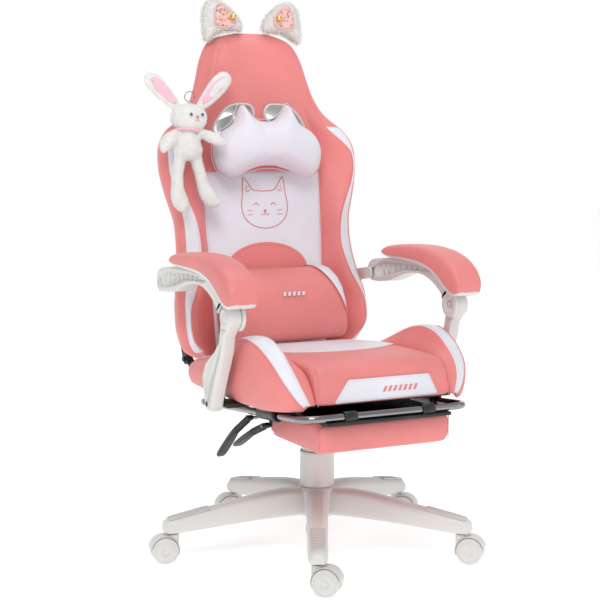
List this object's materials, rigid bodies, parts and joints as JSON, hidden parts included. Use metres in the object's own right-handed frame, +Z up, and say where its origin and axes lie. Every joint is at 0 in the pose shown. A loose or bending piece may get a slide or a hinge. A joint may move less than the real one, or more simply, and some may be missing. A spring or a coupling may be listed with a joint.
{
  "type": "gaming chair",
  "caption": "High-backed swivel gaming chair on a five-star caster base, with reclining back, linked arms, slide-out footrest, neck pillow, lumbar bolster and clip-on cat ears.",
  "frame": {"origin": "bottom centre of the bounding box, on the floor the wheels stand on", "axes": "+Z up, the chair faces -Y, +X is to the right when looking at its front"},
  "size_m": [0.7562, 0.7948, 1.299],
  "materials": {
    "pink_vinyl": "soft matt grained imitation leather, pink",
    "white_vinyl": "soft matt grained imitation leather, white",
    "light_plastic": "moulded plastic, warm white, fine texture",
    "black_plastic": "moulded plastic, black, satin",
    "dark_steel": "powder coated steel, black",
    "chrome_tube": "polished plated steel",
    "white_plush": "short soft pile, white",
    "bell_brass": "polished",
    "white_webbing": "elastic webbing"
  },
  "bodies": {
    "base": {"star_base": "light_plastic", "gas_lift_cylinder": "black_plastic", "column_cover_lower": "light_plastic"},
    "middle_cover": {"column_cover_middle": "light_plastic"},
    "lift": {"gas_lift_rod": "chrome_tube", "column_cover_upper": "light_plastic"},
    "seat": {"mechanism_housing": "black_plastic", "seat_pan": "dark_steel", "seat_cushion": "pink_vinyl", "seat_wing_left": "pink_vinyl", "seat_wing_right": "pink_vinyl", "footrest_sleeve_left": "black_plastic", "footrest_sleeve_right": "black_plastic", "arm_base_bracket": "dark_steel", "seat_hinge_bracket": "dark_steel"},
    "backrest": {"back_cushion": "pink_vinyl", "back_rear_cover": "white_vinyl", "slot_bezel_left": "light_plastic", "slot_bezel_right": "light_plastic", "arm_pivot_bracket_left": "light_plastic", "arm_pivot_bracket_right": "light_plastic", "recliner_arm_left": "dark_steel", "recliner_arm_right": "dark_steel", "neck_pillow": "white_vinyl", "neck_strap": "white_webbing", "lumbar_cushion": "pink_vinyl", "cat_ear_left": "white_plush", "cat_ear_right": "white_plush", "ear_bell_left": "bell_brass", "ear_bell_right": "bell_brass"},
    "left_leg": {"arm_leg_left": "light_plastic"},
    "right_leg": {"arm_leg_right": "light_plastic"},
    "left_arm": {"arm_bar_left": "light_plastic", "arm_pad_left": "pink_vinyl"},
    "right_arm": {"arm_bar_right": "light_plastic", "arm_pad_right": "pink_vinyl"},
    "footrest": {"footrest_frame": "chrome_tube"},
    "footrest_flap": {"footrest_board": "black_plastic", "footrest_pad": "pink_vinyl"},
    "height_lever": {"height_lever": "black_plastic"},
    "recline_lever": {"recline_lever": "black_plastic"},
    "plush": {"plush_rabbit": "white_plush", "plush_ring": "chrome_tube"},
    "caster_1": {"caster_1_housing": "light_plastic"},
    "caster_1_wheel_a": {"caster_1_wheel_a": "light_plastic"},
    "caster_1_wheel_b": {"caster_1_wheel_b": "light_plastic"},
    "caster_2": {"caster_2_housing": "light_plastic"},
    "caster_2_wheel_a": {"caster_2_wheel_a": "light_plastic"},
    "caster_2_wheel_b": {"caster_2_wheel_b": "light_plastic"},
    "caster_3": {"caster_3_housing": "light_plastic"},
    "caster_3_wheel_a": {"caster_3_wheel_a": "light_plastic"},
    "caster_3_wheel_b": {"caster_3_wheel_b": "light_plastic"},
    "caster_4": {"caster_4_housing": "light_plastic"},
    "caster_4_wheel_a": {"caster_4_wheel_a": "light_plastic"},
    "caster_4_wheel_b": {"caster_4_wheel_b": "light_plastic"},
    "caster_5": {"caster_5_housing": "light_plastic"},
    "caster_5_wheel_a": {"caster_5_wheel_a": "light_plastic"},
    "caster_5_wheel_b": {"caster_5_wheel_b": "light_plastic"}
  },
  "joints": [
    {"name": "height_slide", "type": "slide", "parent": "base", "child": "lift", "axis": [0, 0, 1], "range_m": [-0.05, 0.05]},
    {"name": "middle_cover_slide", "type": "slide", "parent": "base", "child": "middle_cover", "axis": [0, 0, 1], "range_m": [-0.025, 0.025]},
    {"name": "seat_swivel", "type": "hinge", "parent": "lift", "child": "seat", "pos_m": [0.01805, -0.03866, 0.325], "axis": [0, 0, 1], "continuous": true},
    {"name": "recline", "type": "hinge", "parent": "seat", "child": "backrest", "pos_m": [0.01805, 0.26334, 0.423], "axis": [-1, 0, 0], "range_deg": [0, 40]},
    {"name": "left_leg_hinge", "type": "hinge", "parent": "seat", "child": "left_leg", "pos_m": [-0.26695, -0.09666, 0.379], "axis": [-1, 0, 0], "range_deg": [0, 40]},
    {"name": "right_leg_hinge", "type": "hinge", "parent": "seat", "child": "right_leg", "pos_m": [0.30305, -0.09666, 0.379], "axis": [-1, 0, 0], "range_deg": [0, 40]},
    {"name": "left_arm_hinge", "type": "hinge", "parent": "backrest", "child": "left_arm", "pos_m": [-0.26695, 0.17134, 0.623], "axis": [-1, 0, 0], "range_deg": [-40, 0]},
    {"name": "right_arm_hinge", "type": "hinge", "parent": "backrest", "child": "right_arm", "pos_m": [0.30305, 0.17134, 0.623], "axis": [-1, 0, 0], "range_deg": [-40, 0]},
    {"name": "footrest_slide", "type": "slide", "parent": "seat", "child": "footrest", "axis": [0, -0.9961, 0.0884], "range_m": [0, 0.26]},
    {"name": "footrest_flip", "type": "hinge", "parent": "footrest", "child": "footrest_flap", "pos_m": [0.01805, -0.36866, 0.38002], "axis": [-1, 0, 0], "range_deg": [0, 180]},
    {"name": "height_lever_pull", "type": "hinge", "parent": "seat", "child": "height_lever", "pos_m": [-0.18195, -0.09566, 0.339], "axis": [1, 0, 0], "range_deg": [0, 8], "stiffness_Nm_per_rad": 2},
    {"name": "recline_lever_pull", "type": "hinge", "parent": "seat", "child": "recline_lever", "pos_m": [-0.18195, -0.18166, 0.337], "axis": [1, 0, 0], "range_deg": [0, 5], "stiffness_Nm_per_rad": 2},
    {"name": "plush_swing", "type": "hinge", "parent": "backrest", "child": "plush", "pos_m": [-0.18995, 0.21513, 1.06786], "axis": [-1, 0, 0], "range_deg": [0, 30]},
    {"name": "caster_1_swivel", "type": "hinge", "parent": "base", "child": "caster_1", "pos_m": [-0.1392, -0.34574, 0.055], "axis": [0, 0, 1], "continuous": true},
    {"name": "caster_1_spin_a", "type": "hinge", "parent": "caster_1", "child": "caster_1_wheel_a", "pos_m": [-0.12405, -0.36028, 0.03], "axis": [0.6922, 0.7217, 0], "continuous": true},
    {"name": "caster_1_spin_b", "type": "hinge", "parent": "caster_1", "child": "caster_1_wheel_b", "pos_m": [-0.12405, -0.36028, 0.03], "axis": [0.6922, 0.7217, 0], "continuous": true},
    {"name": "caster_2_swivel", "type": "hinge", "parent": "base", "child": "caster_2", "pos_m": [0.26151, -0.28311, 0.055], "axis": [0, 0, 1], "continuous": true},
    {"name": "caster_2_spin_a", "type": "hinge", "parent": "caster_2", "child": "caster_2_wheel_a", "pos_m": [0.27666, -0.29764, 0.03], "axis": [0.6922, 0.7217, 0], "continuous": true},
    {"name": "caster_2_spin_b", "type": "hinge", "parent": "caster_2", "child": "caster_2_wheel_b", "pos_m": [0.27666, -0.29764, 0.03], "axis": [0.6922, 0.7217, 0], "continuous": true},
    {"name": "caster_3_swivel", "type": "hinge", "parent": "base", "child": "caster_3", "pos_m": [0.32576, 0.11734, 0.055], "axis": [0, 0, 1], "continuous": true},
    {"name": "caster_3_spin_a", "type": "hinge", "parent": "caster_3", "child": "caster_3_wheel_a", "pos_m": [0.34092, 0.10281, 0.03], "axis": [0.6922, 0.7217, 0], "continuous": true},
    {"name": "caster_3_spin_b", "type": "hinge", "parent": "caster_3", "child": "caster_3_wheel_b", "pos_m": [0.34092, 0.10281, 0.03], "axis": [0.6922, 0.7217, 0], "continuous": true},
    {"name": "caster_4_swivel", "type": "hinge", "parent": "base", "child": "caster_4", "pos_m": [-0.03523, 0.3022, 0.055], "axis": [0, 0, 1], "continuous": true},
    {"name": "caster_4_spin_a", "type": "hinge", "parent": "caster_4", "child": "caster_4_wheel_a", "pos_m": [-0.05598, 0.30542, 0.03], "axis": [-0.1531, -0.9882, 0], "continuous": true},
    {"name": "caster_4_spin_b", "type": "hinge", "parent": "caster_4", "child": "caster_4_wheel_b", "pos_m": [-0.05598, 0.30542, 0.03], "axis": [-0.1531, -0.9882, 0], "continuous": true},
    {"name": "caster_5_swivel", "type": "hinge", "parent": "base", "child": "caster_5", "pos_m": [-0.32259, 0.016, 0.055], "axis": [0, 0, 1], "continuous": true},
    {"name": "caster_5_spin_a", "type": "hinge", "parent": "caster_5", "child": "caster_5_wheel_a", "pos_m": [-0.34335, 0.01922, 0.03], "axis": [-0.1531, -0.9882, 0], "continuous": true},
    {"name": "caster_5_spin_b", "type": "hinge", "parent": "caster_5", "child": "caster_5_wheel_b", "pos_m": [-0.34335, 0.01922, 0.03], "axis": [-0.1531, -0.9882, 0], "continuous": true}
  ],
  "couplings": [
    {"joint": "middle_cover_slide", "follows": "height_slide", "ratio": 0.5},
    {"joint": "left_leg_hinge", "follows": "recline", "ratio": 1},
    {"joint": "right_leg_hinge", "follows": "recline", "ratio": 1},
    {"joint": "left_arm_hinge", "follows": "recline", "ratio": -1},
    {"joint": "right_arm_hinge", "follows": "recline", "ratio": -1}
  ]
}
